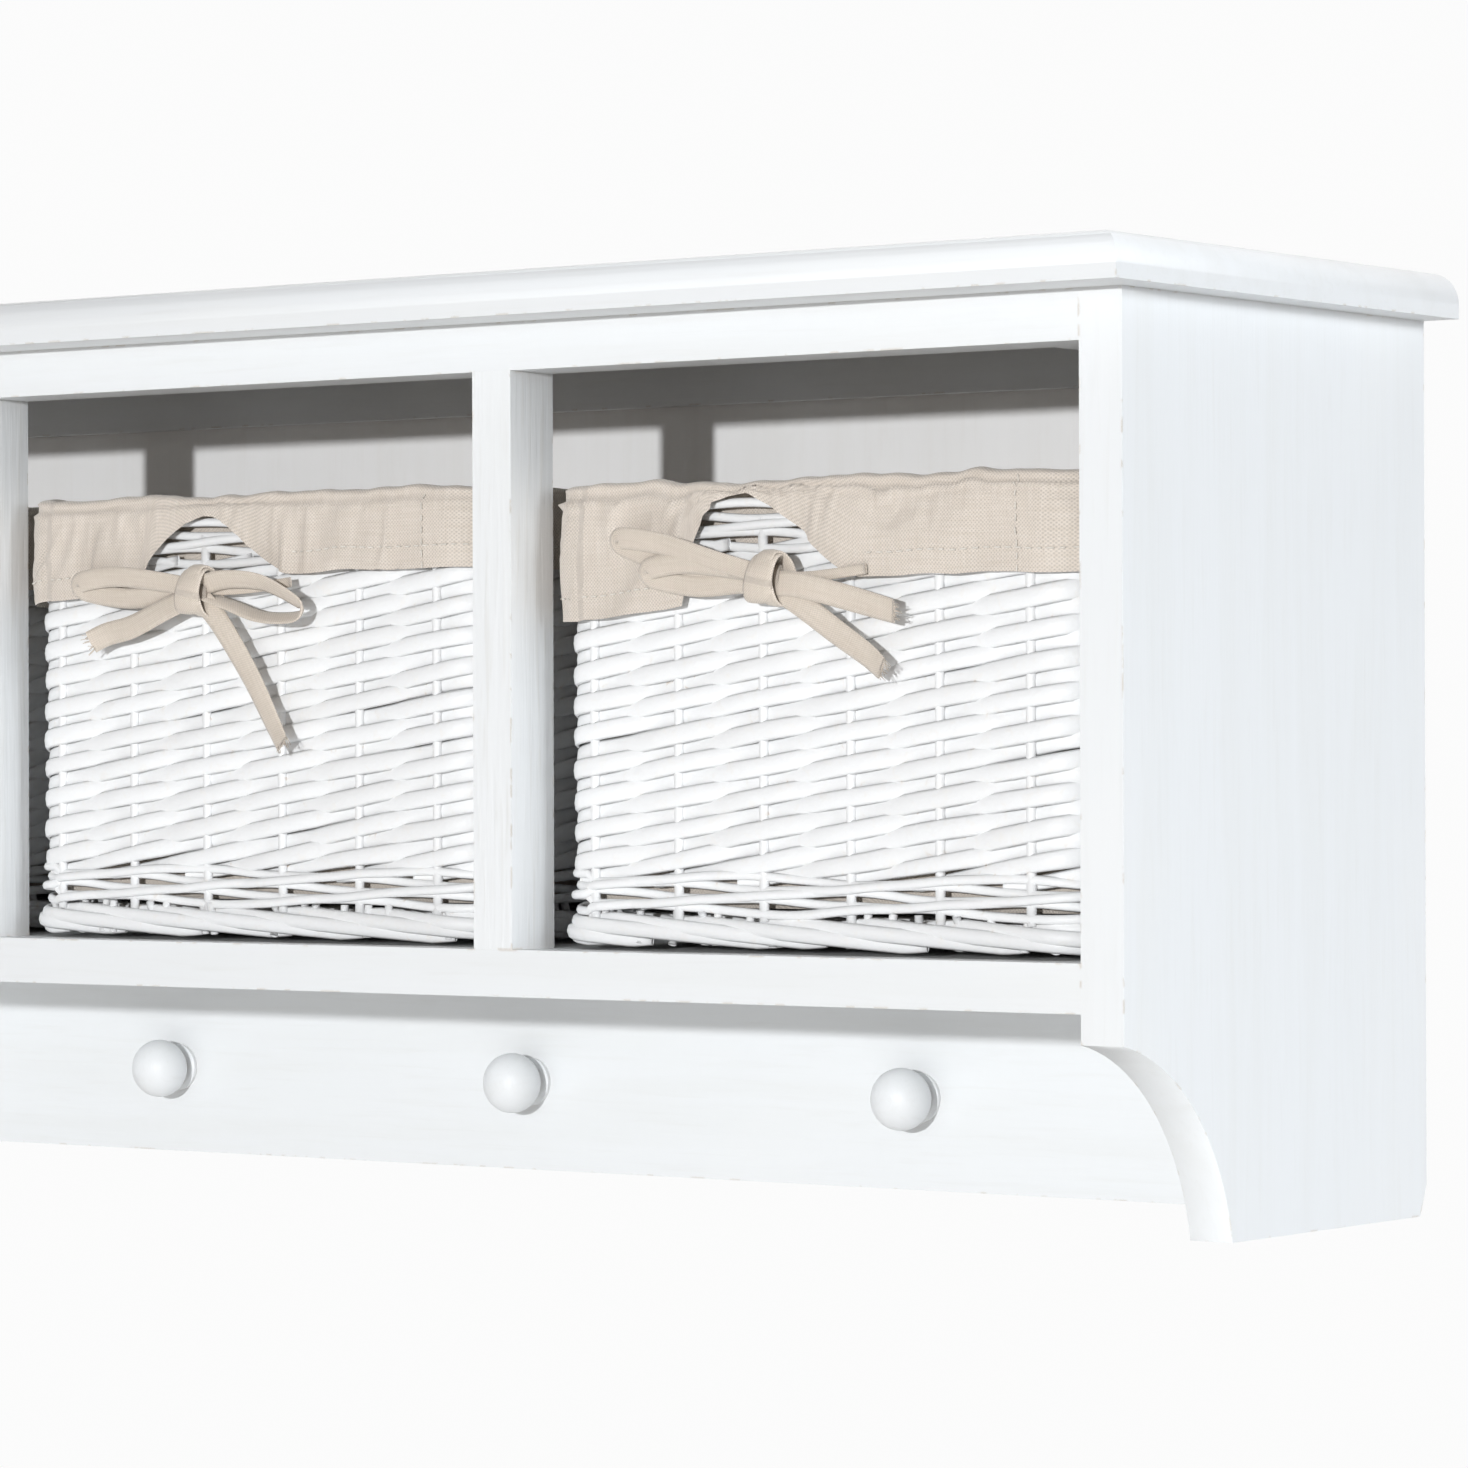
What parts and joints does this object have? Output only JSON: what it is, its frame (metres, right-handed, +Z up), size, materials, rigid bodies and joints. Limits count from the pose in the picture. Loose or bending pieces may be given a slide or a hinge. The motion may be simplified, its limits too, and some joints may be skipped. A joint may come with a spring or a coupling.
{
  "type": "wall shelf with baskets and coat pegs",
  "caption": "Wall-mounted entryway shelf: open cubbies holding lined wicker baskets, over a rail of turned coat pegs.",
  "frame": {"origin": "on the wall plane, middle of the rear face of the back top rail", "axes": "+X to the right seen from the room, +Y into the wall, +Z up"},
  "size_m": [0.8, 0.2235, 0.33],
  "materials": {
    "painted_pine": "white satin paint over pine, faint grain and worn edges",
    "painted_ply": "white satin paint",
    "painted_knob": "white satin paint on a turned knob",
    "painted_wicker": "white paint brushed over woven willow",
    "linen": "plain oatmeal linen with topstitching",
    "ribbon": "folded linen tape with frayed ends",
    "hanger_steel": "zinc plated",
    "screw_steel": "zinc plated",
    "beech": "bare beech"
  },
  "bodies": {
    "shelf": {"top_board": "painted_pine", "left_side_panel": "painted_pine", "right_side_panel": "painted_pine", "bottom_shelf": "painted_pine", "front_top_rail": "painted_pine", "back_top_rail": "painted_pine", "left_top_batten": "painted_pine", "right_top_batten": "painted_pine", "back_panel": "painted_ply", "peg_rail": "painted_pine", "left_divider_post": "painted_pine", "right_divider_post": "painted_pine", "left_peg": "painted_knob", "centre_peg": "painted_knob", "right_peg": "painted_knob", "left_hanger_plate": "hanger_steel", "right_hanger_plate": "hanger_steel", "hanger_screws": "screw_steel", "shelf_dowels": "beech", "peg_rail_dowels": "beech", "top_rail_dowels": "beech", "post_dowels": "beech", "batten_screws": "screw_steel", "top_board_screws": "screw_steel", "back_panel_pins": "screw_steel"},
    "left_basket": {"left_basket_wall": "painted_wicker", "left_basket_base": "painted_wicker", "left_basket_foot_border": "painted_wicker", "left_basket_rim": "painted_wicker", "left_basket_liner": "linen", "left_basket_bow": "ribbon"},
    "middle_basket": {"middle_basket_wall": "painted_wicker", "middle_basket_base": "painted_wicker", "middle_basket_foot_border": "painted_wicker", "middle_basket_rim": "painted_wicker", "middle_basket_liner": "linen", "middle_basket_bow": "ribbon"},
    "right_basket": {"right_basket_wall": "painted_wicker", "right_basket_base": "painted_wicker", "right_basket_foot_border": "painted_wicker", "right_basket_rim": "painted_wicker", "right_basket_liner": "linen", "right_basket_bow": "ribbon"}
  },
  "joints": [
    {"name": "left_basket_slide", "type": "slide", "parent": "shelf", "child": "left_basket", "axis": [0, -1, 0], "range_m": [0, 0.21]},
    {"name": "middle_basket_slide", "type": "slide", "parent": "shelf", "child": "middle_basket", "axis": [0, -1, 0], "range_m": [0, 0.21]},
    {"name": "right_basket_slide", "type": "slide", "parent": "shelf", "child": "right_basket", "axis": [0, -1, 0], "range_m": [0, 0.21]}
  ]
}
